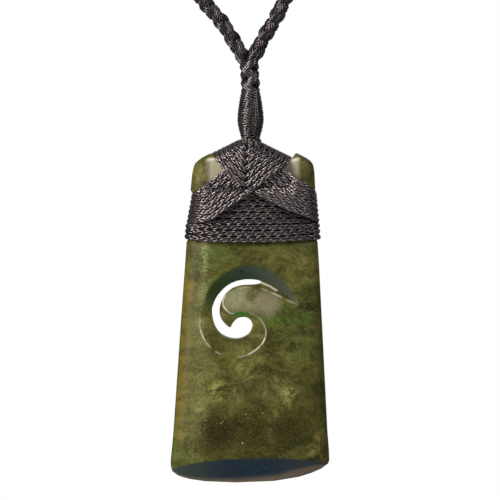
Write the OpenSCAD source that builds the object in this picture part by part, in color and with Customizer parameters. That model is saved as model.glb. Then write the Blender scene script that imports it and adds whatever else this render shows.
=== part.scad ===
// Greenstone adze pendant, lashed with waxed cord and hung on a plaited neck cord.
// The whole necklace is drawn as it is worn: the front is -Y, up is +Z, and the
// origin is the point on the nape where the closure rests. Lengths are in millimetres.

/* [Stone] */
// Height of the stone from its horns to its blade
stone_h = 56; // [52:0.5:60]
// Width of the stone across the blade
blade_w = 27.2; // [26.6:0.2:29]
// Width of the stone across the top, before its corners are cut off
crown_w = 20.6; // [20.2:0.2:21]
// Thickness of the stone at its middle
stone_t = 7.2; // [7.2:0.1:8]
// Height of the ground bevel at the blade
bevel_h = 5; // [4:0.5:5.5]

/* [Lashing] */
// Thickness of one layer of the lashing cord
lash_t = 0.9; // [0.7:0.05:0.9]
// Cords side by side in each slanting band
band_cords = 6; // [5:1:7]
// Level turns under the slanting bands
level_turns = 8; // [7:1:9]
// Greatest width of the whipping above the stone
whipping_d = 4.5; // [4:0.1:4.6]

/* [Neck cord] */
// Diameter of the four-strand neck plait
plait_d = 2.8; // [2.4:0.1:2.8]
// Length of the barrel that closes the plait at the nape
barrel_l = 14; // [12:1:18]
// Diameter of the barrel
barrel_d = 6; // [5.5:0.5:7]

/* [Hidden] */

// Clear space kept between pieces
gap = 0.12;
// Where the middle of the stone's top hangs
hang = [0, -118, -165];

// Half thickness of the stone under the lashing
lashed_t = 0.85 * stone_t / 2;
// How far the stone's middle line stands to the right at its top
lean = 0.5;
// Power of the rounded section: 2 is an ellipse, more is squarer
section_power = 3.4;
section_sides = 32;

// Sections of the stone from top to blade, as a drop from the top, what is cut off the
// taper on the left and on the right, and the share of the full thickness.
STONE = [
    [0, 3.45, 3, 0.5],
    [0.3, 3, 2.55, 0.66],
    [1, 1.75, 1.5, 0.77],
    [1.7, 0.65, 0.55, 0.81],
    [2.3, 0.14, 0.1, 0.83],
    [3.2, 0.05, 0, 0.84],
    [6.3, 0.1, 0, 0.85],
    [7, 2, 2, 0.85],
    [8.4, 2.5, 2.3, 0.85],
    [11.6, 2.2, 1.9, 0.85],
    [12.5, 0.9, 0.75, 0.85],
    [14.2, 0.85, 0.75, 0.86],
    [14.8, 0.06, 0.06, 0.86],
    [15.8, 0.05, 0.05, 0.92],
    [19, 0.05, 0, 0.95],
    [28, 0, 0, 1],
    [36, 0, 0, 1],
    [43, 0, 0, 0.99],
    [49, 0, 0, 0.95],
    [52.4, 0.05, 0, 0.86],
    [53.3, 0.05, 0.6, 0.78],
    [54.3, 0.45, 2.9, 0.64],
    [55.1, 1.95, 5.25, 0.48],
    [55.8, 5.4, 9.5, 0.28],
    [56, 8.6, 13, 0.15]];
table_h = 56;

// The hollow between the two horns, as corners across and down from the top's middle
NOTCH = [[-7, 1], [-6.3, 0], [-4.7, -2.6], [5.9, -2.5], [7.8, 0], [8.4, 1]];

// Outline of the koru slot, from its tip over the top, down the left, round the bulb and
// back along its inner side, as places across and down
KORU = [
    [1.95, -21.9], [1.35, -21.6], [0.2, -21.46], [-1.2, -21.52], [-2.85, -21.96], [-4.2, -22.8],
    [-5.45, -24.15], [-6.2, -25.55], [-6.5, -26.95], [-6.15, -28.9], [-5.35, -30.3],
    [-4.2, -31.15], [-2.55, -31.55], [-1.2, -31.3], [-0.1, -30.6], [0.42, -29.4], [0.15, -28.4],
    [-0.65, -27.85], [-1.95, -27.95], [-2.85, -28.75], [-3.3, -29.5], [-3.85, -29.3],
    [-4.8, -28.2], [-5.15, -26.95], [-4.9, -25.3], [-4.1, -23.9], [-2.85, -22.9],
    [-1.2, -22.45], [0.5, -22.37], [1.6, -22.2]];

// Slope of the ground bevel off the front face
bevel_angle = 35;

// Each slanting band is given by its two edges. A row is a place on edge a, a place on
// edge b, both across and down, and how high each edge rides above the stone.
// The first row is on the ridge over the notch and the last three turn round the side.
turn_r = 2.4;
ridge_drop = 1.8;
ridge_steps = [90, 60, 30];
side_steps = [30, 60, 90];
level_gap = 0.16;
rise = level_gap + lash_t + 0.1;

LEFT_RIDGE = [-5.5, -0.75, -1.4, 1.25];
LEFT_ROWS = [
    [-4.9, -2.6, 2, -1, gap, gap],
    [-3.4, -4.3, 3.4, -2, gap, gap],
    [-1.7, -5.6, 4.7, -2.8, gap, gap],
    [0.3, -6.75, 5.9, -3.3, 0.7, gap],
    [2.4, -7.75, 6.9, -3.6, rise, 0.35],
    [4.6, -8.85, 7.6, -4.2, rise, 0.8],
    [6.8, -9.9, 8.2, -4.75, rise, rise]];
LEFT_SIDE = [
    [8.2, -10.5, 8.75, -5.35],
    [9.4, -11.1, 9.2, -6.2],
    [9.85, -11.6, 9.3, -6.95]];

RIGHT_RIDGE = [5.6, -2.6, 0.95, 1];
RIGHT_ROWS = [
    [3.5, -4.15, -1.9, -0.6, 1.6, 1.6],
    [1.9, -5.5, -3.1, -1.7, 1.6, 1.4],
    [0.2, -6.95, -4.4, -2.9, 1.8, rise],
    [-1.6, -8.1, -5.6, -3.85, 1.4, rise],
    [-3.5, -9.3, -6.6, -4.65, rise, rise],
    [-5, -10.4, -7.3, -5.2, rise, rise],
    [-6.2, -11.3, -7.8, -5.65, rise, rise]];
RIGHT_SIDE = [
    [-7.4, -11.75, -7.8, -6.1],
    [-8.6, -11.95, -8.1, -6.7],
    [-9.2, -11.95, -8, -7.2]];

// The level turns: top and bottom at the middle, and top and bottom at the sides
LEVEL = [-7.5, -15.35, -7.35, -14.65];
level_stations = 36;

// Profile of the whipping, as a height above the stone's top and a share of its width
WHIPPING = [
    [2.3, 0.68],
    [3.6, 0.84],
    [5, 0.98],
    [5.8, 1],
    [7, 0.96],
    [8.4, 0.88],
    [9.6, 0.79],
    [10.5, 0.69],
    [10.9, 0.6]];
// Tongue of gathered cord between the whipping and the notch
TONGUE = [
    [-0.4, 2.4], [-0.4, 0.3], [-4.4, -1.3], [-4.1, -2.35], [4.8, -2.35], [0.6, -0.2], [0.6, 2.4]];
tongue_t = 2.6;

// The stem plait and its fork, above the stone's top
stem_d = 3;
stem_foot = 11.05;
fork_z = 14.8;
fork_d = 3.1;
fork_len = 3.1;
fork_left = 34;
fork_right = 25;

// Middle line of the neck plait from the fork to the nape, for each side
ROUTE_RIGHT = [
    [2.55, -118, -145],
    [4.4, -118, -142],
    [7.6, -117.5, -135.5],
    [13.5, -116, -124],
    [21.5, -113, -110],
    [30.5, -107.5, -94],
    [39.5, -99.5, -77.5],
    [48, -89, -61],
    [55.5, -76, -45.5],
    [61, -61.5, -31.5],
    [64, -46.5, -20],
    [62.5, -32, -11],
    [56.5, -18.5, -5],
    [46.5, -8, -1.5],
    [33.5, -1, -0.3],
    [19, 2.4, 0],
    [8, 3.1, 0],
    [2, 3.1, 0]];
ROUTE_LEFT = [
    [-3.45, -118, -145],
    [-5.1, -118, -142.4],
    [-9.8, -117.5, -136.6],
    [-16, -116, -125.5],
    [-23.5, -113, -111.5],
    [-31.5, -107.5, -95],
    [-40, -99.5, -78],
    [-48.3, -89, -61.3],
    [-55.5, -76, -45.5],
    [-61, -61.5, -31.5],
    [-64, -46.5, -20],
    [-62.5, -32, -11],
    [-56.5, -18.5, -5],
    [-46.5, -8, -1.5],
    [-33.5, -1, -0.3],
    [-19, 2.4, 0],
    [-8, 3.1, 0],
    [-2, 3.1, 0]];
plait_sides = 8;
// A direction that no part of the plait runs along, to hold its section steady
steady = [0, 1, 0.3];
barrel_y = 3.1;
// How far from the barrel's middle its two sockets begin
socket_from = 1.8;
// How deep the grooves between cords are, as a share of a cord
groove = 0.3;

// Helpers

function blend(a, b, t) = a + (b - a) * t;

// Half width of the taper and its middle line, at a drop below the top
function taper(drop) = blend(crown_w / 2, blade_w / 2, drop / stone_h);
function middle(drop) = lean * (1 - drop / stone_h);
function drop_of(row) = row[0] * stone_h / table_h;
function cut_left(drop) = lookup(drop, [for (row = STONE) [drop_of(row), row[1]]]);
function cut_right(drop) = lookup(drop, [for (row = STONE) [drop_of(row), row[2]]]);
function half_t(drop) = lookup(drop, [for (row = STONE) [drop_of(row), row[3]]]) * stone_t / 2;
function left_x(drop) = middle(drop) - taper(drop) + cut_left(drop);
function right_x(drop) = middle(drop) + taper(drop) - cut_right(drop);

// One corner of a rounded section of unit size, at an angle
function squircle(a) =
    let (reach = pow(abs(cos(a)), section_power) + pow(abs(sin(a)), section_power))
    [cos(a), sin(a)] / pow(reach, 1 / section_power);

// A point on the stone's side, or clear of it by a margin
function skin(a, drop, margin) =
    let (u = squircle(a), l = left_x(drop) - margin, r = right_x(drop) + margin)
    [(l + r) / 2 + u[0] * (r - l) / 2, u[1] * (half_t(drop) + margin), -drop];

// A smooth curve through the points of a route, two steps to each stretch
function curve_at(p0, p1, p2, p3, t) =
    0.5 * (2 * p1 + (p2 - p0) * t + (2 * p0 - 5 * p1 + 4 * p2 - p3) * t * t
        + (3 * p1 - p0 - 3 * p2 + p3) * t * t * t);
function smooth(route) =
    let (last = len(route) - 1)
    [for (i = [0 : 2 * last])
        let (k = min(floor(i / 2), last - 1), t = i / 2 - k)
        curve_at(route[max(k - 1, 0)], route[k], route[k + 1], route[min(k + 2, last)], t)];

// The same through a closed outline
function smooth_loop(outline) =
    let (count = len(outline))
    [for (i = [0 : 2 * count - 1])
        let (k = floor(i / 2), t = i / 2 - k)
        curve_at(outline[(k + count - 1) % count], outline[k], outline[(k + 1) % count],
            outline[(k + 2) % count], t)];

function unit(v) = v / norm(v);

// Triangles of a skin over rings of points; a closed skin joins its last ring to its first
function band_faces(rings, sides, closed) =
    [for (i = [0 : rings - (closed ? 1 : 2)], j = [0 : sides - 1])
        let (a = i * sides + j, b = i * sides + (j + 1) % sides,
            c = ((i + 1) % rings) * sides + (j + 1) % sides, d = ((i + 1) % rings) * sides + j)
        each [[a, b, c], [a, c, d]]];

module closed_loop(rings) {
    sides = len(rings[0]);
    polyhedron([for (ring = rings) each ring], band_faces(len(rings), sides, true), 6);
}

module capped(rings) {
    sides = len(rings[0]);
    count = len(rings);
    caps = [[for (j = [sides - 1 : -1 : 0]) j], [for (j = [0 : sides - 1]) (count - 1) * sides + j]];
    polyhedron([for (ring = rings) each ring], concat(band_faces(count, sides, false), caps), 6);
}

// Thickness of a row of cords at a share of its width
function ridged(f, cords) = lash_t * (1 - groove / 2 * (1 + cos(360 * cords * f)));

// A row of cords from place a to place b, standing out along a direction
function strip(a, b, out, lift_a, lift_b, cords) =
    let (n = 3 * cords)
    concat(
        [for (j = [0 : 4]) let (f = j / 4) blend(a, b, f) + out * blend(lift_a, lift_b, f)],
        [for (j = [n : -1 : 0]) let (f = j / n)
            blend(a, b, f) + out * (blend(lift_a, lift_b, f) + ridged(f, cords))]);

// The front half of a slanting band, from the ridge over the notch to the side
function band_front(ridge, rows, side, hand) =
    let (first = rows[0],
        slope = unit([ridge[2] - ridge[0], 0, ridge[3] - ridge[1]]),
        up = [-hand * abs(slope[2]), 0, abs(slope[0])],
        lift = rows[0][4])
    concat(
        [for (s = ridge_steps)
            let (f = (90 - s) / 90, y = -lashed_t * cos(s), fall = ridge_drop * (1 - sin(s)))
            strip([blend(ridge[0], first[0], f), y, ridge[1] - fall],
                [blend(ridge[2], first[2], f), y, ridge[3] - fall],
                up * sin(s) + [0, -cos(s), 0], lift, lift, band_cords)],
        [for (row = rows)
            strip([row[0], -lashed_t, row[1]], [row[2], -lashed_t, row[3]],
                [0, -1, 0], row[4], row[5], band_cords)],
        [for (k = [0 : len(side) - 1])
            let (s = side_steps[k], y = -(lashed_t - turn_r) - turn_r * cos(s))
            strip([side[k][0], y, side[k][1]], [side[k][2], y, side[k][3]],
                [hand * sin(s), -cos(s), 0], rise, rise, band_cords)]);

function to_back(ring) = [for (p = ring) [p[0], -p[1], p[2]]];

// The whole band: its front, then the same rings at the back in turn
function band_rings(ridge, rows, side, hand) =
    let (front = band_front(ridge, rows, side, hand), last = len(front) - 1)
    concat(front, [for (i = [last : -1 : 1]) to_back(front[i])]);

module slanting_band(ridge, rows, side, hand) {
    rings = band_rings(ridge, rows, side, hand);
    ordered = hand > 0 ? [for (ring = rings) [for (i = [len(ring) - 1 : -1 : 0]) ring[i]]] : rings;
    closed_loop(ordered);
}

// Stands a drawing in the plane of the stone and gives it a thickness
module upright(thickness) {
    rotate([90, 0, 0]) translate([0, 0, -thickness / 2]) linear_extrude(thickness) children();
}

// A swept plait that ends square at both ends
function tube_rings(path, radius) =
    let (last = len(path) - 1)
    [for (i = [0 : last])
        let (way = unit(path[min(i + 1, last)] - path[max(i - 1, 0)]),
            across = unit(cross(way, steady)), over = cross(across, way))
        [for (j = [0 : plait_sides - 1])
            let (a = 360 * j / plait_sides) path[i] + radius * (cos(a) * across + sin(a) * over)]];

// Where each arm of the fork ends, in the plane of the stone
function fork_end(lean_angle) =
    hang + [sin(lean_angle) * fork_len, 0, fork_z + cos(lean_angle) * fork_len];

module plait(route, lean_angle) {
    way = [sin(lean_angle), 0, cos(lean_angle)];
    start = fork_end(lean_angle) + way * gap;
    capped(tube_rings(smooth(concat([start], route)), plait_d / 2));
}

// The pieces

module stone() color("darkolivegreen") translate(hang) difference() {
    capped([for (row = STONE)
        [for (j = [0 : section_sides - 1]) skin(360 * j / section_sides, drop_of(row), 0)]]);
    upright(2 * stone_t) polygon(NOTCH);
    upright(2 * stone_t) polygon(smooth_loop(KORU));
    translate([0, -stone_t / 2, bevel_h - stone_h]) rotate([bevel_angle, 0, 0])
        translate([-blade_w, -stone_t, -2 * stone_t])
            cube([2 * blade_w, stone_t, 2 * stone_t]);
}

module lashing_level() color("dimgray") translate(hang) {
    count = 3 * level_turns;
    closed_loop([for (i = [0 : level_stations - 1])
        let (a = -360 * i / level_stations, side = pow(abs(squircle(a)[0]), 2),
            top = blend(LEVEL[0], LEVEL[2], side), foot = blend(LEVEL[1], LEVEL[3], side))
        concat(
            [for (j = [count : -1 : 0]) skin(a, -blend(top, foot, j / count), level_gap)],
            [for (j = [0 : count]) let (f = j / count)
                skin(a, -blend(top, foot, f), level_gap + ridged(f, level_turns))])]);
}

module lashing_left() color("dimgray") translate(hang)
    slanting_band(LEFT_RIDGE, LEFT_ROWS, LEFT_SIDE, 1);

module lashing_right() color("gray") translate(hang)
    slanting_band(RIGHT_RIDGE, RIGHT_ROWS, RIGHT_SIDE, -1);

module whipping() color("dimgray") translate(hang) {
    top = WHIPPING[len(WHIPPING) - 1][0];
    rotate_extrude($fn = 48) polygon(concat([[0, WHIPPING[0][0]]],
        [for (row = WHIPPING) [row[1] * whipping_d / 2, row[0]]], [[0, top]]));
    upright(tongue_t) polygon(TONGUE);
}

module stem_plait() color("dimgray") translate(hang) {
    translate([0, 0, stem_foot]) cylinder(d = stem_d, h = fork_z - stem_foot, $fn = 32);
    translate([0, 0, fork_z]) {
        sphere(d = fork_d, $fn = 32);
        for (lean_angle = [-fork_left, fork_right])
            rotate([0, lean_angle, 0]) cylinder(d = plait_d, h = fork_len, $fn = 32);
    }
}

module plait_left() color("dimgray") plait(ROUTE_LEFT, -fork_left);

module plait_right() color("dimgray") plait(ROUTE_RIGHT, fork_right);

module nape_barrel() color("black") translate([0, barrel_y, 0]) rotate([0, 90, 0]) difference() {
    cylinder(d = barrel_d, h = barrel_l, center = true, $fn = 48);
    for (end = [0, 180]) rotate([end, 0, 0])
        translate([0, 0, socket_from]) cylinder(d = plait_d + 2 * gap, h = barrel_l, $fn = 48);
}

stone();
lashing_level();
lashing_left();
lashing_right();
whipping();
stem_plait();
plait_left();
plait_right();
nape_barrel();
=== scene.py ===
# %% [markdown]
# # A greenstone adze pendant on a plaited cord
#
# This pendant is a flat piece of polished nephrite, ground to the shape of an adze blade
# and pierced with a koru, the curl of an opening fern. Waxed cord is wound over the notch
# in its top and round its shoulders, gathered into a whipping and plaited into a neck cord.
#
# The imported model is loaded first. It gives every piece its place and size in metres:
# up is +Z, the front is -Y, and the origin is on the nape where the closure rests.

# %% The frame
import math

import bpy
import numpy as np
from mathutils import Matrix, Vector


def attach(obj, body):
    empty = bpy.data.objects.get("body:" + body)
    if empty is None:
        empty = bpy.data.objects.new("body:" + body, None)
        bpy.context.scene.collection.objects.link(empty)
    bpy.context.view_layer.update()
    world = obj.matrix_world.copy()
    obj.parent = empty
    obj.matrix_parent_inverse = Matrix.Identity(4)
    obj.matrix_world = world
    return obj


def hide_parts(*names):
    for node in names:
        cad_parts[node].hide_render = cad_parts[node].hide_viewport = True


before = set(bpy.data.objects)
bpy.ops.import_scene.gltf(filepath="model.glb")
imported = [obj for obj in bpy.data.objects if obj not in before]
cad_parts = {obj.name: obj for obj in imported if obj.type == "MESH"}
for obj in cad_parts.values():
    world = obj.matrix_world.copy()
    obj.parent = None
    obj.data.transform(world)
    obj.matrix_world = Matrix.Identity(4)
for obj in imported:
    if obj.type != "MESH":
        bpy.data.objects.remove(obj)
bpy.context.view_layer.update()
MM = 0.001
print("pieces in the frame:", sorted(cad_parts))

# %% [markdown]
# ## Camera
#
# The photograph looks straight at the front from far off, so the camera stands half a
# metre away with a long lens. The picture is 500 pixels wide and takes in 85 mm in the
# middle plane of the stone, where its outline is, which is 0.17 mm a pixel.

# %% Camera
PIXEL = 0.17 * MM
PICTURE = 500
HANG = Vector((0, -118, -165)) * MM
CAMERA_OFF = 0.5
PICTURE_TOP = 153

bpy.ops.object.camera_add(
    location=(0, HANG.y - CAMERA_OFF, HANG.z + (PICTURE_TOP - PICTURE / 2) * PIXEL),
    rotation=(math.radians(90), 0, 0))
camera = bpy.context.object
camera.data.lens = camera.data.sensor_width * CAMERA_OFF / (PICTURE * PIXEL)
bpy.context.scene.camera = camera
print("lens", round(camera.data.lens, 1), "mm")

# %% [markdown]
# ## Helpers
#
# Every finish here is a small network of nodes, and a `Look` holds one. `node` makes one
# node and fills its inputs, either with a plain value or with a link from another node.
# `lay` mixes a tint over the colour so far, so a finish reads from top to bottom like a
# recipe. A few short helpers pick a piece, open its mesh in edit mode and dress it.

# %% A look and its nodes
FINE_RELIEF = 0.03 * MM


class Look:
    """A network of nodes, and the colour that is built up in it."""

    def __init__(self, owner):
        owner.use_nodes = True
        self.tree = owner.node_tree
        self.tree.nodes.clear()
        self.colour = None

    def node(self, kind, inputs=(), **settings):
        """Makes a node, sets its settings, and fills its inputs with values or links."""
        node = self.tree.nodes.new(kind)
        for key, value in settings.items():
            setattr(node, key, value)
        for key, value in dict(inputs).items():
            socket = node.inputs[key]
            if isinstance(value, bpy.types.NodeSocket):
                self.tree.links.new(value, socket)
            else:
                socket.default_value = value
        return node

    def noise(self, place, scale, detail=4.0, rough=0.55):
        """A cloud pattern, from 0 to 1, whose scale is in patches to a metre."""
        return self.node("ShaderNodeTexNoise", {
            "Vector": place, "Scale": scale, "Detail": detail, "Roughness": rough}).outputs["Fac"]

    def pattern(self, place, scale, detail, rough, low, high):
        """Noise, stretched so that low becomes 0 and high becomes 1."""
        return self.ramp(self.noise(place, scale, detail, rough), low, high)

    def spread(self, value, low, high, first, last, ends="LINEAR"):
        """Stretches a pattern so that low becomes first and high becomes last."""
        return self.node("ShaderNodeMapRange", {
            "Value": value, "From Min": low, "From Max": high, "To Min": first, "To Max": last},
            interpolation_type=ends).outputs["Result"]

    def ramp(self, value, low, high, top=1.0):
        """Stretches a pattern from 0 at low to top at high, with soft ends."""
        return self.spread(value, low, high, 0.0, top, "SMOOTHSTEP")

    def mix(self, share, first, second):
        """Mixes two colours by a share."""
        return self.node("ShaderNodeMix", {0: share, 6: first, 7: second},
                         data_type="RGBA").outputs[2]

    def math(self, operation, *values):
        """One step of arithmetic."""
        return self.node("ShaderNodeMath", dict(enumerate(values)), operation=operation).outputs[0]

    def mark(self, name):
        """A value that the piece keeps at each of its vertices."""
        return self.node("ShaderNodeAttribute", attribute_name=name).outputs["Fac"]

    def lay(self, tint, strength, *patterns):
        """Lays a tint over the colour so far, by a strength times its patterns."""
        share = strength
        for pattern in patterns:
            share = self.math("MULTIPLY", pattern, share)
        self.colour = self.mix(share, self.colour, tint)

    def bump(self, height, strength):
        """Fine relief from a pattern."""
        return self.node("ShaderNodeBump", {
            "Height": height, "Strength": strength, "Distance": FINE_RELIEF}).outputs["Normal"]

    def surface(self, inputs):
        """Ends the network in a shader with these inputs, in the colour so far."""
        shader = self.node("ShaderNodeBsdfPrincipled", {"Base Color": self.colour, **inputs})
        self.node("ShaderNodeOutputMaterial", {"Surface": shader.outputs[0]})


def start_material(name):
    """A new material, its look, and the place of each point on the piece."""
    material = bpy.data.materials.new(name)
    look = Look(material)
    return material, look, look.node("ShaderNodeTexCoord").outputs["Object"]


print("fine relief is", round(FINE_RELIEF / MM, 3), "mm deep")

# %% Picking, editing and dressing a piece


def pick(*pieces):
    """Selects these pieces alone, with the first as the active one."""
    bpy.ops.object.select_all(action="DESELECT")
    for piece in pieces:
        piece.select_set(True)
    bpy.context.view_layer.objects.active = pieces[0]


def open_mesh(action="SELECT"):
    """Opens the active piece in edit mode, with all of it selected or deselected."""
    bpy.ops.object.mode_set(mode="EDIT")
    bpy.ops.mesh.select_all(action=action)


def close_mesh():
    """Goes back to object mode."""
    bpy.ops.object.mode_set(mode="OBJECT")


def triangles(piece):
    """How many triangles a piece has."""
    return sum(len(face.vertices) - 2 for face in piece.data.polygons)


def dress(piece, material, node):
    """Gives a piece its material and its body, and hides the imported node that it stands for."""
    piece.data.materials.clear()
    piece.data.materials.append(material)
    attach(piece, "root")
    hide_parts(node)
    print(piece.name, triangles(piece), "triangles")


bpy.ops.object.select_all(action="DESELECT")
print("selected to start with:", len(bpy.context.selected_objects))

# %% [markdown]
# ## Studio
#
# A product picture on white needs two things that fight each other: a white ground behind
# the object, and dark surroundings for the black cord and the polished stone to reflect.
# The world is white for the camera's own rays alone, and dim for all other light. Four
# soft boxes do the rest, with the key at the upper left as in the photograph.

# %% Soft boxes
LIT_POINT = HANG + Vector((0, 0, -0.02))
# Name, place, width, height, watts and colour
SOFT_BOXES = [
    ("key_light", (-0.48, -0.52, 0.06), 0.15, 0.60, 8.0, (1, 0.98, 0.95)),
    ("fill_light", (0.50, -0.50, 0.20), 0.20, 0.30, 2.4, (0.95, 0.97, 1)),
    ("top_light", (0.0, -0.10, 0.45), 0.50, 0.30, 0.8, (1, 1, 1)),
    ("back_light", (0.1, 0.55, 0.05), 0.60, 0.50, 1.2, (1, 1, 1))]

for name, place, width, height, watts, colour in SOFT_BOXES:
    turn = (LIT_POINT - Vector(place)).to_track_quat("-Z", "Y").to_euler()
    bpy.ops.object.light_add(type="AREA", location=place, rotation=turn)
    lamp = bpy.context.object
    lamp.name = name
    lamp.data.shape = "RECTANGLE"
    lamp.data.size = width
    lamp.data.size_y = height
    lamp.data.energy = watts
    lamp.data.color = colour
print(len(SOFT_BOXES), "soft boxes")

# %% Floor and world
FLOOR_Z = -0.6
FLOOR_R = 0.9
FLOOR_DARKER = (0.8, 0.8, 0.8, 1)
FLOOR_PALER = (0.84, 0.84, 0.84, 1)
WHITE = (1, 1, 1, 1)
ROOM = (0.72, 0.78, 0.9, 1)
ROOM_STRENGTH = 0.07

bpy.ops.mesh.primitive_circle_add(vertices=64, radius=FLOOR_R, fill_type="NGON",
                                  location=(0, HANG.y, FLOOR_Z))
floor = bpy.context.object
floor.name = "floor"
floor_material, look, place = start_material("pale_floor")
look.colour = look.mix(look.noise(place, 6.0), FLOOR_DARKER, FLOOR_PALER)
look.surface({"Roughness": 0.8})
floor.data.materials.append(floor_material)

bpy.context.scene.view_settings.view_transform = "Standard"
world = bpy.data.worlds.new("white_studio")
bpy.context.scene.world = world
look = Look(world)
ground = look.node("ShaderNodeBackground", {"Color": WHITE, "Strength": 1.0})
room = look.node("ShaderNodeBackground", {"Color": ROOM, "Strength": ROOM_STRENGTH})
seen = look.node("ShaderNodeLightPath").outputs["Is Camera Ray"]
choose = look.node("ShaderNodeMixShader", {
    "Fac": seen, 1: room.outputs[0], 2: ground.outputs[0]})
look.node("ShaderNodeOutputWorld", {"Surface": choose.outputs[0]})
print("floor", 2 * FLOOR_R, "m across, and a white world")

# %% [markdown]
# ## The shape of the stone
#
# A toki is ground by hand from a slab: flat faces with rounded sides, widest at the blade,
# its top corners knocked off into two horns. A box with subdivision would lose the outline,
# so the stone is described as a stack of rounded sections instead. Each row below is a
# depth under the top, what is cut off the taper on each side, and a share of the thickness.

# %% Sections of the stone
STONE_H = 56.0
BLADE_W = 27.2
CROWN_W = 20.6
STONE_T = 7.2
LEAN = 0.5
SECTION_POWER = 3.4
STONE = [
    [0, 3.3, 2.9, 0.5],
    [0.3, 2.6, 2.25, 0.66],
    [0.75, 1.75, 1.4, 0.74],
    [1.3, 1.05, 0.6, 0.79],
    [1.8, 0.6, 0.25, 0.81],
    [2.5, 0.36, 0.05, 0.83],
    [3.5, 0.22, 0, 0.84],
    [6.7, 0.1, 0, 0.85],
    [7.3, 1.9, 1.9, 0.85],
    [8.4, 2.6, 2.3, 0.85],
    [11.3, 2.2, 1.9, 0.85],
    [11.8, 0.9, 0.75, 0.85],
    [14.2, 0.85, 0.75, 0.86],
    [14.75, 0.06, 0.06, 0.86],
    [15.3, 0.05, 0.05, 0.86],
    [15.8, 0.05, 0.05, 0.92],
    [19, 0.05, 0, 0.95],
    [28, 0, 0, 1],
    [43, 0, 0, 0.99],
    [49, 0, 0, 0.95],
    [52.4, 0, 0, 0.86],
    [54, 0, 0.05, 0.7],
    [55.2, 0.06, 0.08, 0.45],
    [55.7, 0.14, 0.16, 0.27],
    [56, 0.3, 0.35, 0.12]]
BLADE_EDGE = [
    [-13.6, 53], [-13.2, 54.1], [-12.2, 54.85], [-10.4, 55.4], [-7.6, 55.8], [-2.4, 56],
    [4.1, 55.75], [8.3, 55.05], [10.4, 54.4], [12.1, 53.65], [13, 53], [13.6, 52.5]]
BLADE_TOP = 47.0
BEVEL_LINE = [
    [-13.6, -53.8], [-12.2, -53.2], [-9.3, -52.5], [-5.3, -51.95], [1.2, -51.6], [6.8, -51.75],
    [10.4, -52.1], [12.8, -52.8], [13.6, -53.2]]
EDGE_Y = -0.1

print(len(STONE), "sections down the stone")

# %% The stone's skin
stone_table = np.array(STONE)
edge_table = np.array(BLADE_EDGE)
bevel_table = np.array(BEVEL_LINE)


def half_thickness(drop):
    """Half the stone's thickness at a depth below its top, in millimetres."""
    return np.interp(drop, stone_table[:, 0], stone_table[:, 3]) * STONE_T / 2


def sides_at(drop):
    """Where the stone's left and right sides are at a depth below its top."""
    taper = (CROWN_W + (BLADE_W - CROWN_W) * drop / STONE_H) / 2
    middle = LEAN * (1 - drop / STONE_H)
    left = middle - taper + np.interp(drop, stone_table[:, 0], stone_table[:, 1])
    right = middle + taper - np.interp(drop, stone_table[:, 0], stone_table[:, 2])
    return left, right


def squircle(angle):
    """A point of a square with round sides, of unit size, at an angle."""
    cosine, sine = np.cos(angle), np.sin(angle)
    reach = (np.abs(cosine) ** SECTION_POWER + np.abs(sine) ** SECTION_POWER) ** (1 / SECTION_POWER)
    return cosine / reach, sine / reach


def skin(angle, drop, margin=0.0):
    """Points on the stone's skin, or clear of it by a margin, in the stone's own millimetres."""
    across, depth = squircle(angle)
    left, right = sides_at(drop)
    x = (left + right) / 2 + across * ((right - left) / 2 + margin)
    y = depth * (half_thickness(drop) + margin)
    foot = np.interp(x, edge_table[:, 0], edge_table[:, 1])
    share = np.clip((drop - BLADE_TOP) / (STONE_H - BLADE_TOP), 0, 1)
    z = -(drop + share * (foot - STONE_H))
    return x, y, z


def ground_bevel(x, z, depth):
    """How far down the ground bevel a place is, from 0 to 1, and where the bevel is there."""
    line = np.interp(x, bevel_table[:, 0], bevel_table[:, 1])
    foot = np.interp(x, edge_table[:, 0], edge_table[:, 1])
    lift = (foot - STONE_H) / (STONE_H - BLADE_TOP)
    drop = (BLADE_TOP * lift - line) / (1 + lift)
    down = np.clip((line - z) / (line + foot), 0, 1)
    start_y = depth * half_thickness(drop)
    return down, start_y + (EDGE_Y - start_y) * down


print("blade", BLADE_W, "mm wide, sides at the top", [round(float(s), 2) for s in sides_at(0)])

# %% [markdown]
# ## The koru
#
# The curl is a slot cut right through, with a scooped bank round it. In plan the bank is
# one closed line: it runs from a sharp tip on the right over the top, down the left, under
# the slot's round end, then turns back round the small inner lobe to the tip. Inside that line
# the surface falls away to the slot. All of it is a height worked out from two distances,
# so the same few points give the slot, the bank and the painted highlight on its ridge.

# %% Lines of the koru
SLOT = [
    [1.95, -21.9], [1.35, -21.6], [0.2, -21.46], [-1.2, -21.52], [-2.85, -21.96], [-4.2, -22.8],
    [-5.45, -24.15], [-6.2, -25.55], [-6.5, -26.95], [-6.15, -28.9], [-5.35, -30.3],
    [-4.2, -31.15], [-2.55, -31.55], [-1.2, -31.3], [-0.1, -30.6], [0.42, -29.4], [0.15, -28.4],
    [-0.65, -27.85], [-1.95, -27.95], [-2.85, -28.75], [-3.3, -29.5], [-3.85, -29.3],
    [-4.8, -28.2], [-5.15, -26.95], [-4.9, -25.3], [-4.1, -23.9], [-2.85, -22.9],
    [-1.2, -22.45], [0.5, -22.37], [1.6, -22.2]]
BANK_OUTER = [
    [8.2, -25.8], [7.9, -24.5], [6.97, -22.8], [5.1, -20.9], [2.9, -19.5], [0.35, -18.9],
    [-2.05, -19.25], [-4.4, -20.4], [-6.6, -22.3], [-7.9, -25.3], [-8.5, -28.6], [-8.2, -30.5],
    [-7.2, -32.4], [-5.3, -33.9], [-2.6, -34.6], [-1.1, -34.4], [0.2, -33.85], [1.4, -33],
    [2.35, -31.8], [2.7, -30.3], [2.4, -29.2], [1.75, -28.2], [0.9, -27.5], [-0.2, -27.1],
    [-1.7, -26.95]]
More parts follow.
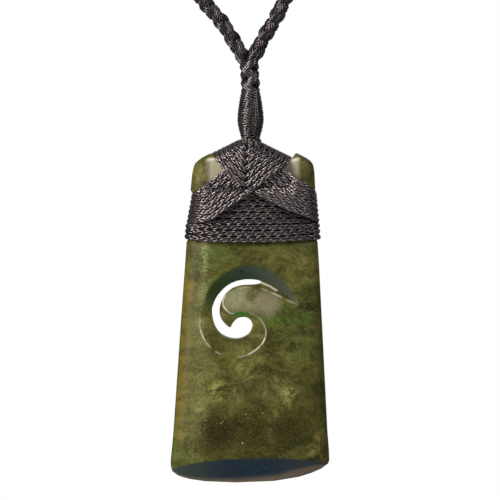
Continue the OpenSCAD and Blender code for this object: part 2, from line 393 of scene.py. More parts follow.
BANK_INNER = [
    [-1.7, -26.95], [-3.1, -27.25], [-4.2, -26.4], [-4.6, -25.3], [-4.1, -24.1], [-3, -23.3],
    [-1.3, -22.85], [0.8, -22.8], [2.6, -23.25], [4.4, -24.0], [6.4, -25.0], [8.2, -25.8]]
SMOOTH_STEPS = 6
print("the slot is drawn with", len(SLOT), "points, its bank with", len(BANK_OUTER + BANK_INNER))

# %% Curves, distances and insides


def smooth(points, closed=False, steps=SMOOTH_STEPS):
    """A smooth curve through hand-placed points, with so many steps to each stretch."""
    p = np.array(points, float)
    count = len(p)
    stretches = count if closed else count - 1
    out = []
    for k in range(stretches):
        if closed:
            a, b, c, d = (p[(k + o) % count] for o in (-1, 0, 1, 2))
        else:
            a, b, c, d = (p[min(max(k + o, 0), count - 1)] for o in (-1, 0, 1, 2))
        for t in np.arange(steps) / steps:
            out.append(0.5 * (2 * b + (c - a) * t + (2 * a - 5 * b + 4 * c - d) * t * t
                              + (3 * b - a - 3 * c + d) * t ** 3))
    if not closed:
        out.append(p[-1])
    return np.array(out)


def distance_to(points, line):
    """How far each point is from a line of short straight stretches."""
    best = np.full(len(points), 1e9)
    for start, end in zip(line[:-1], line[1:]):
        way = end - start
        share = np.clip(((points - start) @ way) / max(way @ way, 1e-12), 0, 1)
        gap = np.linalg.norm(points - start - share[:, None] * way, axis=1)
        best = np.minimum(best, gap)
    return best


def inside(points, outline):
    """Whether each point is inside a closed outline."""
    x, z = points[:, 0], points[:, 1]
    result = np.zeros(len(points), bool)
    for (x0, z0), (x1, z1) in zip(outline, np.roll(outline, -1, axis=0)):
        crosses = (z0 > z) != (z1 > z)
        rise = (z1 - z0) if z1 != z0 else 1e-12
        result ^= crosses & (x < (x1 - x0) * (z - z0) / rise + x0)
    return result


slot_outline = smooth(SLOT, closed=True)
bank_outer = smooth(BANK_OUTER)
bank_inner = smooth(BANK_INNER)
bank_outline = np.concatenate([bank_outer, bank_inner[1:-1]])
print("koru slot", len(slot_outline), "points, bank", len(bank_outline), "points")

# %% [markdown]
# ## Carving the bank
#
# The outer bank falls at a gentle angle round the slot's round end and steeply over the top,
# where it makes the dark crescent. The bank of the inner lobe is short and steep. Where
# the two meet past the tip of the slot they make a pointed valley, so the depth is simply
# the lesser of the two slopes. The back has only a small chamfer.

# %% Depth of the bank
OUTER_SLOPE_LOW = 0.22
OUTER_SLOPE_HIGH = 0.62
INNER_SLOPE = 1.15
BANK_DEPTH = 2.0
SLOPE_FROM = -28.5
SLOPE_TO = -23.5
SEAT_LEFT = -7.7
SEAT_RIGHT = 8.7
SEAT_TOP = -0.7
SEAT_FOOT = -7.5
SEAT_DEPTH = 0.3
SEAT_RUN = 1.1
SEAT_RISE = 1.0
SEAT_FADE = 0.5
CHAMFER = 0.35


def soft_step(value, low, high):
    """0 below low, 1 above high, and smooth between."""
    share = np.clip((value - low) / (high - low), 0, 1)
    return share * share * (3 - 2 * share)


def bank_depth(points):
    """How deep the bank is cut into the front face at each point, in millimetres."""
    outer = distance_to(points, bank_outer)
    inner = distance_to(points, bank_inner)
    high = soft_step(points[:, 1], SLOPE_FROM, SLOPE_TO)
    slope = OUTER_SLOPE_LOW + (OUTER_SLOPE_HIGH - OUTER_SLOPE_LOW) * high
    depth = np.minimum(np.minimum(slope * outer, INNER_SLOPE * inner), BANK_DEPTH)
    return np.where(inside(points, bank_outline), depth, 0)


def seat_share(x, z):
    """1 in the two shallow ground seats inside the horns, 0 outside them."""
    across = soft_step(x, SEAT_LEFT, SEAT_LEFT + SEAT_RUN)
    across = across * soft_step(-x, -SEAT_RIGHT, SEAT_RUN - SEAT_RIGHT)
    up = soft_step(z, SEAT_FOOT, SEAT_FOOT + SEAT_RISE)
    return across * up * soft_step(-z, -SEAT_TOP, SEAT_FADE - SEAT_TOP)


def slot_chamfer(points):
    """Depth of the small chamfer round the slot on the back."""
    edge = distance_to(points, np.vstack([slot_outline, slot_outline[:1]]))
    return np.clip(CHAMFER - edge, 0, None)


print("bank depth beside the slot, top and bottom:",
      np.round(bank_depth(np.array([[-0.8, -21.3], [-3, -31.6]])), 2))

# %% [markdown]
# ## Making the stone
#
# One grid is added and wrapped round like a sheet of paper: its columns go round the
# section and its rows go down. Rows and columns are close together over the koru, where
# the ridge has to stay crisp, and wide apart elsewhere. The seam is merged, and the two
# ends are filled. The whipping's core and the barrel are wrapped in the same way.

# %% The stone's mesh
FINE_STEP = 0.13
BACK_COARSER = 2.2
SIDE_COLUMNS = 30
KORU_COLUMNS = [-0.77, 0.72]
KORU_ROWS = [17.6, 35.6]
MERGE_WITHIN = 0.002 * MM
CROWN_END = [HANG.z - 1 * MM, HANG.z + 1 * MM]
BLADE_END = [HANG.z - 60 * MM, HANG.z - 50 * MM]


def in_world(places):
    """Places in the stone's own millimetres, moved to where it hangs, in metres."""
    return np.asarray(places) * MM + np.array(HANG)


def stops(*pieces):
    """Places along a line: each piece is (from, to, step)."""
    out = [pieces[0][0]]
    for start, end, step in pieces:
        count = max(1, round(abs(end - start) / abs(step)))
        out.extend(start + (end - start) * (np.arange(count) + 1) / count)
    return np.array(out)


def face_angles(start, end, step, depth_sign):
    """Angles round the section for even stops across its front or its back."""
    across = stops((start, end, step / (BLADE_W / 2)))
    depth = (1 - np.abs(across) ** SECTION_POWER) ** (1 / SECTION_POWER)
    return np.arctan2(depth_sign * depth, across)


def column_angles():
    """Angles round the section, from the front's left corner round and back to it."""
    left_end, right_end = KORU_COLUMNS
    front = face_angles(left_end, right_end, FINE_STEP, -1)
    back = face_angles(right_end, left_end, BACK_COARSER * FINE_STEP, 1)
    right = np.linspace(front[-1], back[0], SIDE_COLUMNS)[1:-1]
    left = np.linspace(back[-1], front[0] + 2 * np.pi, SIDE_COLUMNS)[1:]
    return np.concatenate([front, right, back, left])


def wrap_sheet(name, rings):
    """A sheet wrapped into a tube: rings is rows of places, each row closed on itself."""
    down, around = rings.shape[:2]
    bpy.ops.mesh.primitive_grid_add(x_subdivisions=around - 1, y_subdivisions=down - 1, size=2)
    piece = bpy.context.object
    piece.name = name
    flat = np.zeros(len(piece.data.vertices) * 3)
    piece.data.vertices.foreach_get("co", flat)
    flat = flat.reshape(-1, 3)
    column = np.rint((flat[:, 0] + 1) / 2 * (around - 1)).astype(int)
    row = np.rint((1 - flat[:, 1]) / 2 * (down - 1)).astype(int)
    piece.data.vertices.foreach_set("co", rings[row, column].ravel())
    open_mesh()
    bpy.ops.mesh.remove_doubles(threshold=MERGE_WITHIN)
    bpy.ops.mesh.normals_make_consistent(inside=False)
    close_mesh()
    bpy.ops.object.shade_smooth()
    return piece


def close_end(piece, below, above):
    """Fills the open edge of a piece that lies between two heights."""
    open_mesh("DESELECT")
    bpy.ops.mesh.select_non_manifold(extend=False)
    close_mesh()
    for vertex in piece.data.vertices:
        vertex.select = vertex.select and below < vertex.co.z < above
    for edge in piece.data.edges:
        edge.select = edge.select and all(piece.data.vertices[k].select for k in edge.vertices)
    bpy.ops.object.mode_set(mode="EDIT")
    bpy.ops.mesh.fill(use_beauty=True)
    close_mesh()


print(len(column_angles()), "columns go round the stone")

# %% Wrapping the stone
stone_rows = stops(
    (0, 2.4, 0.2), (2.4, 15.6, 0.55), (15.6, 16.6, 0.25), (16.6, KORU_ROWS[0], 0.33),
    (KORU_ROWS[0], KORU_ROWS[1], FINE_STEP), (KORU_ROWS[1], 50, 0.4), (50, 56, 0.14))
stone_columns = column_angles()
angles, drops = (grid.ravel() for grid in np.meshgrid(stone_columns, stone_rows))
x, y, z = skin(angles, drops)
front = y < 0
near = (z < -KORU_ROWS[0]) & (z > -KORU_ROWS[1])
plan = np.stack([x, z], axis=1)
y[front & near] += bank_depth(plan[front & near])
y[~front & near] -= slot_chamfer(plan[~front & near])
y += np.where(front, SEAT_DEPTH * seat_share(x, z), 0)
down, bevel_y = ground_bevel(x, z, squircle(angles)[1])
y = np.where(front & (down > 0), bevel_y, y)
skin_places = np.stack([x, y, z], axis=1).reshape(len(stone_rows), len(stone_columns), 3)
stone = wrap_sheet("greenstone", in_world(skin_places))
close_end(stone, *CROWN_END)
close_end(stone, *BLADE_END)
open_mesh()
bpy.ops.mesh.normals_make_consistent(inside=False)
close_mesh()
print("stone before cutting:", len(stone.data.polygons), "faces")

# %% [markdown]
# ## Cutting the slot and the notch
#
# A cutter is drawn flat as a filled outline, stood up in the stone's plane and extruded
# right through. The Boolean modifier takes it away exactly as a drill and a saw would.

# %% Cutters
NOTCH = [[-7, 1], [-6.3, 0], [-4.7, -2.6], [5.9, -2.5], [7.8, 0], [8.4, 1]]
CUT_THROUGH = 8.0
SHARP_FROM = math.radians(28)


def prism(name, outline, half=CUT_THROUGH):
    """A prism of the outline, which reaches so far to the front and the back."""
    bpy.ops.mesh.primitive_circle_add(vertices=len(outline), radius=1, fill_type="NGON")
    made = bpy.context.object
    made.name = name
    for vertex, (across, up) in zip(made.data.vertices, outline):
        vertex.co = Vector((across * MM, -half * MM, up * MM)) + HANG
    open_mesh()
    bpy.ops.mesh.extrude_region_move(
        TRANSFORM_OT_translate={"value": (0, 2 * half * MM, 0)})
    bpy.ops.mesh.select_all(action="SELECT")
    bpy.ops.mesh.normals_make_consistent(inside=False)
    close_mesh()
    return made


def shape_with(piece, kind, **settings):
    """Adds a modifier to a piece, sets it and applies it."""
    pick(piece)
    bpy.ops.object.modifier_add(type=kind)
    for key, value in settings.items():
        setattr(piece.modifiers[-1], key, value)
    bpy.ops.object.modifier_apply(modifier=piece.modifiers[-1].name)


for name, outline in (("koru_tool", slot_outline), ("notch_tool", NOTCH)):
    tool = prism(name, outline)
    shape_with(stone, "BOOLEAN", operation="DIFFERENCE", solver="MANIFOLD", object=tool)
    bpy.data.objects.remove(tool)
bpy.ops.object.shade_smooth_by_angle(angle=SHARP_FROM)
print("stone:", len(stone.data.polygons), "faces")

# %% [markdown]
# ## Marks for the finish and the painted light
#
# Some of the finish belongs to the shape, and much of it is painted light. Painted highlights
# lie on the ridge of the bank and on the corners of the seats, painted blue-grey reflections
# of the dark surroundings on the crescent and the ground bevel, and a painted tan reflection
# on the blade's rim, while the seats are matt. A painted sheen runs down the left and lies
# softly on the lobe, a painted dark reflection lines the outer edge, and the golden left
# flank follows the outline too. Each is saved as a value at every vertex, which a material
# reads by name and which stays with the mesh.

# %% Marks on the stone
RIDGE_WIDTH = 0.1
# Painted highlights on the ridge of the bank: across, up, radius, strength
RIDGE_GLINTS = [
    (2.7, -22.9, 1.2, 0.3), (4.6, -23.9, 1.5, 0.6), (6.9, -25.3, 1.4, 0.35),
    (-4.5, -24.9, 1.2, 0.65),
    (-4.2, -26.3, 1.2, 0.9), (-3.2, -27.2, 0.9, 0.6), (-1, -23, 1.6, 0.25), (-8.6, -28.9, 1.3, 0.3),
    (-8.2, -30.9, 1.7, 0.8), (-7.2, -32.5, 1.0, 0.45), (-5.4, -33.9, 0.8, 0.35),
    (-1.3, -34.5, 1.1, 0.3), (0.4, -33.8, 1.4, 0.65), (1.3, -33.1, 1.1, 0.8), (2.3, -31.9, 1.1, 1),
    (2.7, -30.4, 1.2, 0.5), (2.4, -29.2, 1.2, 0.35), (1.7, -28.2, 1.2, 0.3), (0.4, -27.3, 1, 0.15)]
GLINT_FADE = 0.3
# Painted highlight lines, each with a width and a strength: from the tip of the slot, and
# along the corners of the seats
HIGHLIGHT_LINES = [
    ([[2.0, -22.05], [3.3, -22.6], [4.5, -23.35]], 0.12, 0.9),
    ([[-7.0, -1.25], [-6.2, -1.1]], 0.22, 0.8), ([[7.3, -1.35], [8.1, -1.05]], 0.22, 0.8)]
# The green rim over the slot's round end
GREEN_RIM = [[-2.6, -27.45], [-1.6, -27.3], [-0.5, -27.5]]
GREEN_WIDTH = 0.4
# The long grainy sheen, a painted highlight down the left: its line, and its width and
# strength by the depth below the top
SHEEN = [
    [-7.6, -15], [-7.7, -20], [-8.1, -24], [-8.6, -28], [-8.3, -33], [-8.4, -37], [-8.6, -41],
    [-9.2, -46], [-9.6, -51]]
SHEEN_WIDTH = [[20, 36], [0.65, 1.2]]
SHEEN_STRENGTH = [[20, 34, 50], [0.85, 0.4, 0.25]]
# The inner lobe's painted soft sheen and the blush beside it: middle and half sizes of an oval
LOBE = [-1.6, -24.9, 4.4, 2.7]
BLUSH = [3.0, -25.5, 2.9, 2.9]
# The crescent's painted dark reflection: the heights and the depth in the bank over which it
# comes in
CRESCENT_UP = [-28, -23.5]
CRESCENT_IN = [0, 0.55]
VALLEY_LEAD = 0.1
BEVEL_IN = [0, 0.03]
# The blade's rim, a painted tan reflection: how far down the bevel it starts, from left to right
RIM_FROM = [[-12, -6, 0, 5, 12], [0.74, 0.74, 0.7, 0.6, 0.2]]
RIM_SOFT = 0.3
# The outer edge's painted dark reflection and the golden flank: shares of half the width,
# and the flank's foot
EDGE_FROM = 0.975
FLANK = [0.74, 0.95]
FLANK_FOOT = [-53, -44]
print(len(RIDGE_GLINTS), "glints and", len(HIGHLIGHT_LINES), "bright lines")

# %% Marking the stone


def mark(name, values):
    """Saves one value for each vertex of the stone under a name."""
    layer = stone.data.attributes.new(name, "FLOAT", "POINT")
    layer.data.foreach_set("value", np.asarray(values, np.float32))


def bell(far, width):
    """1 where far is nothing, falling smoothly to 0 over a few widths."""
    return np.exp(-(far / width) ** 2)


def line_mark(points, width):
    """1 on a line of the face, falling smoothly to 0 beside it."""
    return bell(distance_to(plan, np.array(points)), width)


def oval(middle_x, middle_z, half_x, half_z):
    """1 in the middle of an oval on the face, falling smoothly to 0 at its rim."""
    reach = ((plan[:, 0] - middle_x) / half_x) ** 2 + ((plan[:, 1] - middle_z) / half_z) ** 2
    return soft_step(1 - reach, 0, 1)


spots = np.zeros(len(stone.data.vertices) * 3)
stone.data.vertices.foreach_get("co", spots)
spots = (spots.reshape(-1, 3) - np.array(HANG)) / MM
plan = spots[:, [0, 2]]
across, up = plan.T
is_front = spots[:, 1] < 0
in_bank = inside(plan, bank_outline) & is_front
to_outer = distance_to(plan, bank_outer)
to_inner = distance_to(plan, bank_inner)
glint = np.zeros(len(plan))
for glint_x, glint_z, radius, strength in RIDGE_GLINTS:
    away = np.hypot(across - glint_x, up - glint_z)
    glint = np.maximum(glint, strength * soft_step(-away, -radius, -GLINT_FADE * radius))
glint *= bell(np.minimum(to_outer, to_inner), RIDGE_WIDTH)
for line, width, strength in HIGHLIGHT_LINES:
    glint = np.maximum(glint, strength * line_mark(line, width))
on_outer_side = OUTER_SLOPE_HIGH * to_outer < INNER_SLOPE * to_inner + VALLEY_LEAD
crescent = soft_step(up, *CRESCENT_UP) * soft_step(to_outer, *CRESCENT_IN)
down, _ = ground_bevel(across, up, -1.0)
rim_from = np.interp(across, *RIM_FROM)
sheen = bell(distance_to(plan, smooth(SHEEN)), np.interp(-up, *SHEEN_WIDTH))
left, right = sides_at(-up)
from_middle = np.abs(across - (left + right) / 2) / ((right - left) / 2)
# The ridge holds painted highlights, the crescent, the ground bevel, the blade's rim and the edge
# painted reflections, and the sheen and the lobe painted sheen
mark("ridge", is_front * glint)
mark("green_rim", is_front * line_mark(GREEN_RIM, GREEN_WIDTH))
mark("crescent", in_bank * on_outer_side * crescent)
mark("ground_bevel", is_front * soft_step(down, *BEVEL_IN))
mark("blade_rim", is_front * soft_step(down, rim_from, rim_from + RIM_SOFT))
mark("sheen", is_front * sheen * np.interp(-up, *SHEEN_STRENGTH))
mark("lobe", is_front * ~in_bank * oval(*LOBE))
mark("blush", is_front * ~in_bank * oval(*BLUSH))
mark("edge", soft_step(from_middle, EDGE_FROM, 1.0))
mark("flank", soft_step(from_middle, *FLANK) * (across < 0) * soft_step(up, *FLANK_FOOT))
mark("seat", is_front * seat_share(across, up))
print("bevel vertices", int((down > 0).sum()), "bank vertices", int(in_bank.sum()))

# %% [markdown]
# ## Polished nephrite
#
# Nephrite is a felt of fine fibres: olive green, clouded and veined at several sizes, and
# faintly translucent. Noise at several sizes, some of it bent and drawn out, mixes a dark,
# a middle and a light olive. Clouds, stains, shades and green patches are placed where this
# stone has them, as soft round spots, and the marks bring in what follows the shape: painted
# highlights and sheen, painted reflections of the dark surroundings, and the matt seats. The
# polish is a low roughness broken by a very fine grain.

# %% Colours of the nephrite
OLIVE_DEEP = (0.015, 0.0125, 0.003, 1)
OLIVE_DARK = (0.022, 0.021, 0.005, 1)
OLIVE = (0.060, 0.058, 0.011, 1)
OLIVE_LIGHT = (0.14, 0.135, 0.035, 1)
CLOUD = (0.30, 0.28, 0.09, 1)
STAIN = (0.33, 0.19, 0.04, 1)
LEAF_GREEN = (0.032, 0.115, 0.014, 1)
# Painted soft sheen on the inner lobe
LOBE_SHEEN = (0.27, 0.265, 0.15, 1)
BLUSH_PALE = (0.25, 0.215, 0.15, 1)
# Painted reflections of the dark surroundings on the crescent, and a navy spot in them
CRESCENT_GREEN = (0.022, 0.048, 0.013, 1)
CRESCENT_TEAL = (0.031, 0.052, 0.035, 1)
CRESCENT_GREY = (0.050, 0.056, 0.042, 1)
NAVY = (0.003, 0.008, 0.035, 1)
# Painted reflections of the dark surroundings on the ground bevel
BEVEL_BLUE = (0.006, 0.019, 0.039, 1)
BEVEL_GREY = (0.032, 0.047, 0.044, 1)
# Painted dark reflection along the outer edge
EDGE_DARK = (0.007, 0.013, 0.013, 1)
FLANK_GOLD = (0.13, 0.1, 0.006, 1)
# Painted sheen down the left
SHEEN_GREEN = (0.25, 0.27, 0.115, 1)
# Painted tan reflection on the blade's rim
RIM_TAN = (0.17, 0.13, 0.08, 1)
SEAT_PALE = (0.36, 0.33, 0.23, 1)
# Painted highlight on the ridge of the bank and along the highlight lines
RIDGE_HIGHLIGHT = (0.75, 0.68, 0.55, 1)
FLECK_PALE = (0.5, 0.4, 0.18, 1)
# Patterns: patches to a metre, detail, roughness, and the values that become 0 and 1
BROAD = (110.0, 5.0, 0.6, 0.33, 0.68)
WISPS = (330.0, 8.0, 0.62, 0.36, 0.72)
VEINS = (300.0, 8.0, 0.7, 0.5, 0.66)
CLOTS = (620.0, 6.0, 0.7, 0.42, 0.62)
# How far the patterns are bent, and how each is turned and stretched
BEND_SCALE = 220.0
BEND = (0.006, 0.006, 0.006)
WISPS_DRAWN = (12, (0.55, 1, 1.25))
VEINS_DRAWN = (14, (0.3, 1, 1.5))
# Where the tints of the painted reflections on the crescent and the ground bevel change,
# from left to right across the front, in metres
TO_TEAL = (-0.006, -0.002)
TO_GREY = (0.0, 0.005)
TO_BLUE = (-0.011, -0.003)
BACK_TO_GREY = (0.002, 0.01)
GLOW_DEPTH = 1.2 * MM
print("olives from", OLIVE_DEEP[:3], "to", OLIVE_LIGHT[:3])

# %% Listed spots
# Each is across, up, radius and strength, seen from the front
CLOUDS = [
    (-9.0, -2.6, 1.8, 0.5), (-1.0, -36.3, 2.2, 0.45), (-6.5, -36.8, 1.8, 0.35),
    (-5.6, -40.4, 1.9, 0.95), (6.1, -41.2, 2.0, 1), (4.9, -38.9, 1.5, 0.6),
    (-8.4, -44.0, 1.4, 0.8), (3.7, -44.7, 1.2, 0.75), (10.6, -50.3, 1.0, 0.7),
    (-2.9, -40.9, 1.8, 0.5), (-0.5, -36.0, 2.6, 0.5), (2.2, -40.2, 1.6, 0.4),
    (9.5, -18.8, 3.0, 0.3)]
STAINS = [
    (-8.5, -4.6, 0.6, 0.6), (-10.4, -22.2, 1.1, 0.8), (-10.9, -24.8, 1.2, 0.95),
    (-11.2, -31.5, 1.2, 0.5), (-11.4, -38.0, 1.2, 0.6), (-11.7, -41.6, 1.3, 0.7),
    (11.8, -48.2, 1.0, 0.8), (-8.9, -24.5, 0.8, 0.4), (9.9, -19.5, 1.6, 0.35),
    (12.4, -53.2, 1.6, 0.7)]
SHADES = [
    (0.0, -46.5, 4.6, 0.7), (-5.5, -47.5, 4.0, 0.95), (6.5, -47.0, 4.4, 0.75),
    (0, -51, 6, 0.5), (10.0, -40.0, 3.0, 0.4), (3.0, -38.5, 2.6, 0.4)]
GREENS = [
    (8.4, -28.0, 1.6, 0.95), (5.2, -28.6, 3.0, 0.7), (-8.2, -22.0, 1.6, 0.35),
    (-5.5, -19.0, 3.5, 0.4), (-11.8, -51.0, 2.0, 0.4), (9.6, -33, 2.5, 0.3)]
# A navy spot in the crescent's painted dark reflection
NAVY_SPOTS = [(-1.35, -20.15, 0.35, 0.8)]
LOBE_SHADE = [(0.3, -24.3, 1.3, 0.75), (-1.2, -26.2, 1.0, 0.4)]
BRIGHT_FLECKS = [
    (-1.26, -49.1, 0.15, 0.8), (-7.4, -45.3, 0.1, 0.5), (-4.9, -45.7, 0.13, 0.5),
    (-4.55, -45.4, 0.12, 0.4), (-0.7, -44.2, 0.12, 0.45), (2.1, -44.0, 0.12, 0.5)]
SPOT_RIM = 1.6
SPOT_CORE = 0.2


def spot_pattern(look, place, spots_at):
    """One value that is high near any of a few listed spots on the front and back."""
    flat = look.node("ShaderNodeVectorMath", {0: place, 1: (1, 0, 1)}, operation="MULTIPLY")
    total = None
    for across, up, radius, strength in spots_at:
        middle = (HANG.x + across * MM, 0, HANG.z + up * MM)
        far = look.node("ShaderNodeVectorMath", {0: flat.outputs[0], 1: middle},
                        operation="DISTANCE").outputs["Value"]
        near = look.ramp(far, SPOT_RIM * radius * MM, SPOT_CORE * radius * MM, strength)
        total = near if total is None else look.math("MAXIMUM", total, near)
    return total


print(len(CLOUDS), "clouds,", len(STAINS), "stains,", len(GREENS), "green patches")

# %% The nephrite material


def drawn_out(look, place, degrees, stretch):
    """A place turned in the face and stretched, so that a pattern on it is drawn out."""
    return look.node("ShaderNodeMapping", {
        "Vector": place, "Rotation": (0, math.radians(degrees), 0),
        "Scale": stretch}).outputs[0]


def nephrite():
    """Mottled olive nephrite with its clouds, stains and ground faces, and painted highlights, sheen
    and reflections.
    """
    material, look, place = start_material("polished_nephrite")
    ramp = look.ramp
    bend = look.node("ShaderNodeTexNoise", {
        "Vector": place, "Scale": BEND_SCALE, "Detail": 3.0}).outputs["Color"]
    bent = look.node("ShaderNodeVectorMath", {0: bend, 1: BEND, 2: place},
                     operation="MULTIPLY_ADD").outputs[0]
    broad = look.pattern(bent, *BROAD)
    wisps = look.pattern(drawn_out(look, bent, *WISPS_DRAWN), *WISPS)
    veins = look.pattern(drawn_out(look, bent, *VEINS_DRAWN), *VEINS)
    clots = look.pattern(bent, *CLOTS)
    speckle = look.noise(bent, 1150.0, 3.0, 0.6)
    grain = look.noise(place, 2600.0, 3.0, 0.7)
    fine = look.noise(place, 3600.0, 2.0, 0.6)
    cells = look.node("ShaderNodeTexVoronoi", {"Vector": place, "Scale": 420.0})
    flecks = ramp(cells.outputs["Distance"], 0.1, 0.05)
    clouds, stains, greens, shades, lobe_shade, bright_flecks, navy_spots = (
        spot_pattern(look, place, spots_at) for spots_at in (
            CLOUDS, STAINS, GREENS, SHADES, LOBE_SHADE, BRIGHT_FLECKS, NAVY_SPOTS))

    look.colour = look.mix(broad, OLIVE_DARK, OLIVE)
    look.lay(OLIVE_LIGHT, 0.62, wisps)
    look.lay(OLIVE_LIGHT, 0.55, veins)
    look.lay(CLOUD, 1.0, clouds, clots)
    look.lay(STAIN, 0.7, stains, clots)
    look.lay(LEAF_GREEN, 0.8, greens, ramp(wisps, 0.0, 0.7))
    look.lay(OLIVE_LIGHT, 0.32, ramp(speckle, 0.5, 0.68))
    look.lay(OLIVE_DEEP, 0.42, ramp(speckle, 0.5, 0.3))
    look.lay(CLOUD, 1.0, flecks, ramp(look.noise(place, 300.0), 0.55, 0.6))
    look.lay(OLIVE_DEEP, 1.0, shades, ramp(broad, -0.6, 0.5))
    soft = ramp(fine, -0.2, 0.65)
    # A painted soft sheen on the lobe, thinner over the lobe's darker spots
    look.lay(LOBE_SHEEN, 0.85, look.mark("lobe"), soft, ramp(lobe_shade, 1.0, 0.0))
    look.lay(BLUSH_PALE, 0.6, look.mark("blush"), soft)
    look.lay(OLIVE_LIGHT, 0.26, ramp(fine, 0.5, 0.68))
    look.lay(OLIVE_DEEP, 0.26, ramp(fine, 0.5, 0.32))
    look.lay(FLANK_GOLD, 0.62, look.mark("flank"), ramp(wisps, -0.4, 0.9))
    look.lay(FLECK_PALE, 1.0, bright_flecks)
    # A painted grainy sheen down the left
    look.lay(SHEEN_GREEN, 1.0, look.mark("sheen"), ramp(fine, 0.3, 0.6), ramp(wisps, -0.6, 0.9))

    across = look.node("ShaderNodeSeparateXYZ", {0: place}).outputs[0]
    # The crescent's painted reflection of the dark surroundings, in tints that change across the
    # front
    crescent_reflection = look.mix(ramp(across, *TO_TEAL), CRESCENT_GREEN, CRESCENT_TEAL)
    crescent_reflection = look.mix(ramp(across, *TO_GREY), crescent_reflection, CRESCENT_GREY)
    crescent_reflection = look.mix(navy_spots, crescent_reflection, NAVY)
    # The ground bevel's painted reflection of the dark surroundings, in tints that change across it
    ground = look.mix(ramp(across, *TO_BLUE), BEVEL_GREY, BEVEL_BLUE)
    ground = look.mix(ramp(across, *BACK_TO_GREY, 0.5), ground, BEVEL_GREY)
    ground = look.mix(look.math("MULTIPLY", clots, 0.25), ground, BEVEL_GREY)
    # The seats are matt and pale; the ridge gets its painted highlight, and the crescent, the ground
    # bevel, the blade's rim and the edge their painted reflections
    for name, strength, tint in (
            ("seat", 0.85, SEAT_PALE), ("crescent", 0.9, crescent_reflection), ("green_rim", 0.85, LEAF_GREEN),
            ("ground_bevel", 0.92, ground), ("blade_rim", 0.8, RIM_TAN),
            ("edge", 0.5, EDGE_DARK), ("ridge", 0.9, RIDGE_HIGHLIGHT)):
        look.lay(tint, strength, look.mark(name))
    polish = look.spread(grain, 0.0, 1.0, 0.34, 0.5)
    look.surface({
        "Roughness": look.math("MULTIPLY_ADD", look.mark("seat"), 0.4, polish),
        "IOR": 1.61, "Normal": look.bump(grain, 0.1), "Specular IOR Level": 0.07,
        "Subsurface Weight": 0.12, "Subsurface Radius": (1.0, 0.9, 0.35),
        "Subsurface Scale": GLOW_DEPTH})
    return material


dress(stone, nephrite(), "stone")
print("the stone carries", len(stone.data.attributes), "attributes")

# %% [markdown]
# ## How a braided cord is made
#
# The lashing cord is itself a small round braid of waxed strands, half of them turning one
# way and half the other, each going over and under in turn. One function walks along a
# route and lays the strands round it. They are drawn as curves with a round bevel, which
# is how Blender makes rope, and then converted to meshes.

# %% Routes
TWO_WAYS = (1, -1)
CREST_FLATNESS = 1.5


def unit_rows(rows_of_vectors):
    """The same vectors, each of length one."""
    return rows_of_vectors / np.maximum(np.linalg.norm(rows_of_vectors, axis=1), 1e-12)[:, None]


def even_route(points, normals, count, closed):
    """The same route and its outward directions, at evenly spaced places along it."""
    points, normals = np.asarray(points, float), np.asarray(normals, float)
    if closed:
        points = np.vstack([points, points[:1]])
        normals = np.vstack([normals, normals[:1]])
    steps = np.linalg.norm(np.diff(points, axis=0), axis=1)
    along = np.concatenate([[0], np.cumsum(steps)])
    wanted = np.linspace(0, along[-1], count + 1)
    if closed:
        wanted = wanted[:-1]
    places = np.stack([np.interp(wanted, along, points[:, k]) for k in range(3)], axis=1)
    outward = np.stack([np.interp(wanted, along, normals[:, k]) for k in range(3)], axis=1)
    return places, unit_rows(outward)


def route_length(points, closed=False):
    """The length of a route."""
    points = np.asarray(points, float)
    if closed:
        points = np.vstack([points, points[:1]])
    return float(np.linalg.norm(np.diff(points, axis=0), axis=1).sum())


def frame_along(places, outward, closed):
    """The way along a route and the two directions across it."""
    if closed:
        way = np.roll(places, -1, axis=0) - np.roll(places, 1, axis=0)
    else:
        way = np.gradient(places, axis=0)
    way = unit_rows(way)
    out = unit_rows(outward - (outward * way).sum(1)[:, None] * way)
    return way, out, np.cross(way, out)


def round_route(angle, out, side):
    """The directions at an angle round a route, from its two directions across."""
    return np.cos(angle)[:, None] * out + np.sin(angle)[:, None] * side


print("the slot's outline is", round(route_length(slot_outline, True), 1), "mm round")

# %% Braids and round cords


def braid(points, normals, closed, each_way, period, middle_r, weave, steps, phase=0.0, roll=0.0):
    """The strands of a round braid laid along a route, each as a row of places.

    middle_r is how far a strand's centre stands from the route, and weave is how much
    further out it goes where it passes over another and further in where it passes under."""
    periods = max(1, round(route_length(points, closed) / period))
    places, outward = even_route(points, normals, periods * steps, closed)
    way, out, side = frame_along(places, outward, closed)
    turn = np.arange(len(places)) / steps + phase
    strands = []
    for direction in TWO_WAYS:
        over = np.tanh(CREST_FLATNESS * np.cos(2 * np.pi * each_way * turn))
        reach = middle_r + direction * weave * over / np.tanh(CREST_FLATNESS)
        for start in 2 * np.pi * np.arange(each_way) / each_way:
            angle = direction * 2 * np.pi * turn + start + roll
            strands.append(places + reach[:, None] * round_route(angle, out, side))
    return strands


def round_cords(name, strands, radius, closed, sharpness=1):
    """One mesh piece of round cords, each along a row of places in metres."""
    drawn = bpy.data.curves.new(name, "CURVE")
    drawn.dimensions = "3D"
    drawn.bevel_depth = radius
    drawn.bevel_resolution = sharpness
    drawn.use_fill_caps = not closed
    for places in strands:
        spline = drawn.splines.new("POLY")
        spline.points.add(len(places) - 1)
        spline.points.foreach_set("co", np.column_stack([places, np.ones(len(places))]).ravel())
        spline.use_cyclic_u = closed
    piece = bpy.data.objects.new(name, drawn)
    bpy.context.collection.objects.link(piece)
    pick(piece)
    bpy.ops.object.convert(target="MESH")
    bpy.ops.object.shade_smooth()
    return piece


def join(name, *parts):
    """Joins several pieces into one of that name."""
    pick(*parts)
    bpy.ops.object.join()
    parts[0].name = name
    return parts[0]


print("braid helper ready, strands turn", TWO_WAYS)

